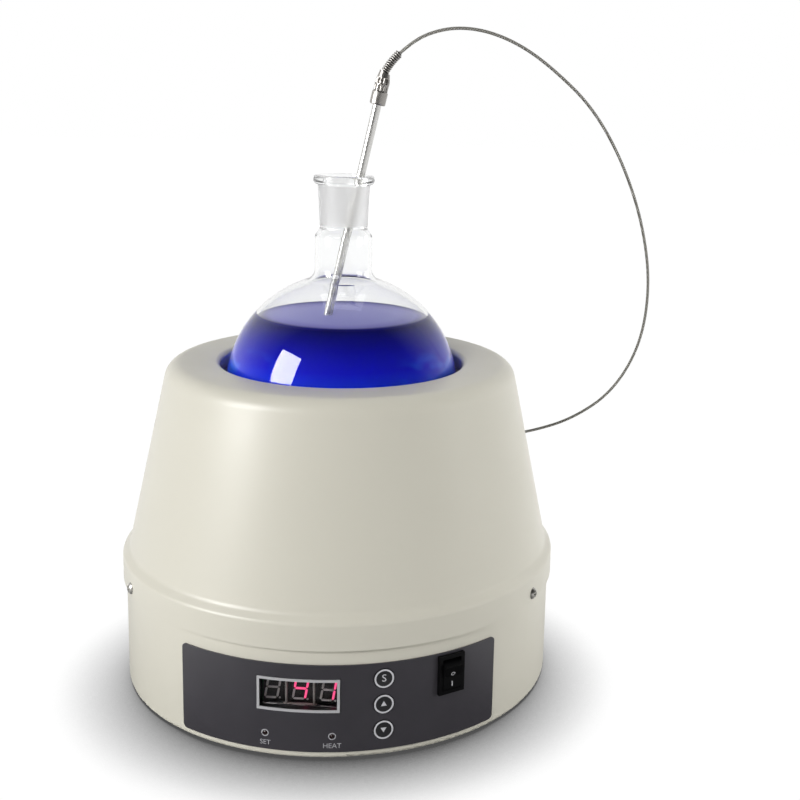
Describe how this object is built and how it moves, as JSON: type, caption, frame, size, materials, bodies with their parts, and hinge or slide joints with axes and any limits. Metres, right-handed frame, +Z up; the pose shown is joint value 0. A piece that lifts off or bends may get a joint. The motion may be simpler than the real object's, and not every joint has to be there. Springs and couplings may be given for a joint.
{
  "type": "laboratory heating mantle",
  "caption": "Round heating mantle with a woven heating bowl, digital temperature panel and rocker switch, holding a round-bottom flask with a temperature probe on a lead.",
  "frame": {"origin": "centre of the base on the plane that its feet stand on", "axes": "+Z up along the axis of the drum and the cone, -Y out of the front through the control panel, +X to the right of the panel as seen from the front"},
  "size_m": [0.3172, 0.2456, 0.3656],
  "materials": {
    "ivory_paint": "satin powder coat",
    "panel_film": "printed film",
    "frame_plastic": "moulded, bevelled",
    "window_acrylic": "smoked clear",
    "display_body": "moulded",
    "display_bars": "light bars",
    "key_plastic": "moulded with a printed ring",
    "lamp_lens": "moulded lens",
    "switch_plastic": "moulded",
    "circuit_board": "solder mask",
    "black_plastic": "moulded",
    "green_plastic": "moulded",
    "bright_screw": "plated",
    "zinc_steel": "zinc plated sheet",
    "stainless": "drawn tube",
    "aluminium": "sheet",
    "heater_strip": "resistance strip",
    "copper_coil": "enamelled wire",
    "glass_cloth": "knitted glass fibre",
    "mineral_wool": "felted",
    "rubber_black": "moulded",
    "clear_glass": "blown borosilicate",
    "blue_liquid": "dyed liquid",
    "braid": "fine braid"
  },
  "bodies": {
    "mantle": {"upper_shell": "ivory_paint", "base_shell": "ivory_paint", "bottom_plate": "zinc_steel", "foot_screws": "zinc_steel", "plate_screws": "zinc_steel", "shell_screws": "bright_screw", "shell_nuts": "zinc_steel", "heating_bowl": "glass_cloth", "heating_element": "heater_strip", "insulation": "mineral_wool", "inner_can": "aluminium", "heat_shield": "zinc_steel", "control_panel": "panel_film", "display_frame": "frame_plastic", "display_window": "window_acrylic", "display_module": "display_body", "display_segments": "display_bars", "display_board": "circuit_board", "display_posts": "black_plastic", "key_board": "circuit_board", "key_switches": "black_plastic", "key_posts": "black_plastic", "power_switch_body": "switch_plastic", "power_switch_tabs": "bright_screw", "power_board": "circuit_board", "board_standoffs": "zinc_steel", "transformer_core": "zinc_steel", "transformer_coil": "copper_coil", "heat_sink": "aluminium", "triac": "black_plastic", "filter_capacitor": "black_plastic", "terminal_block": "green_plastic", "mains_inlet": "black_plastic", "inlet_pins": "bright_screw", "fuse_holder": "black_plastic", "fuse_cap": "black_plastic", "sensor_gland": "black_plastic", "gland_nut": "black_plastic", "sensor_lead": "braid", "spring_relief": "stainless", "probe_ferrule": "stainless", "probe_sheath": "stainless", "flask": "clear_glass", "flask_liquid": "blue_liquid", "set_lamp": "lamp_lens", "heat_lamp": "lamp_lens", "foot_1": "rubber_black", "foot_2": "rubber_black", "foot_3": "rubber_black", "foot_4": "rubber_black", "pillar_1": "zinc_steel", "pillar_2": "zinc_steel", "pillar_3": "zinc_steel"},
    "power_rocker": {"power_rocker": "switch_plastic"},
    "set_key": {"set_key": "key_plastic"},
    "up_key": {"up_key": "key_plastic"},
    "down_key": {"down_key": "key_plastic"}
  },
  "joints": [
    {"name": "power_rocker_tilt", "type": "hinge", "parent": "mantle", "child": "power_rocker", "pos_m": [0.05391, -0.10446, 0.0398], "axis": [0.8886, 0.4587, 0], "range_deg": [-22, 0]},
    {"name": "set_key_press", "type": "slide", "parent": "mantle", "child": "set_key", "axis": [-0.1788, 0.9839, 0], "range_m": [0, 0.0005], "stiffness_N_per_m": 600, "springref_m": -0.001},
    {"name": "up_key_press", "type": "slide", "parent": "mantle", "child": "up_key", "axis": [-0.1788, 0.9839, 0], "range_m": [0, 0.0005], "stiffness_N_per_m": 600, "springref_m": -0.001},
    {"name": "down_key_press", "type": "slide", "parent": "mantle", "child": "down_key", "axis": [-0.1788, 0.9839, 0], "range_m": [0, 0.0005], "stiffness_N_per_m": 600, "springref_m": -0.001}
  ]
}
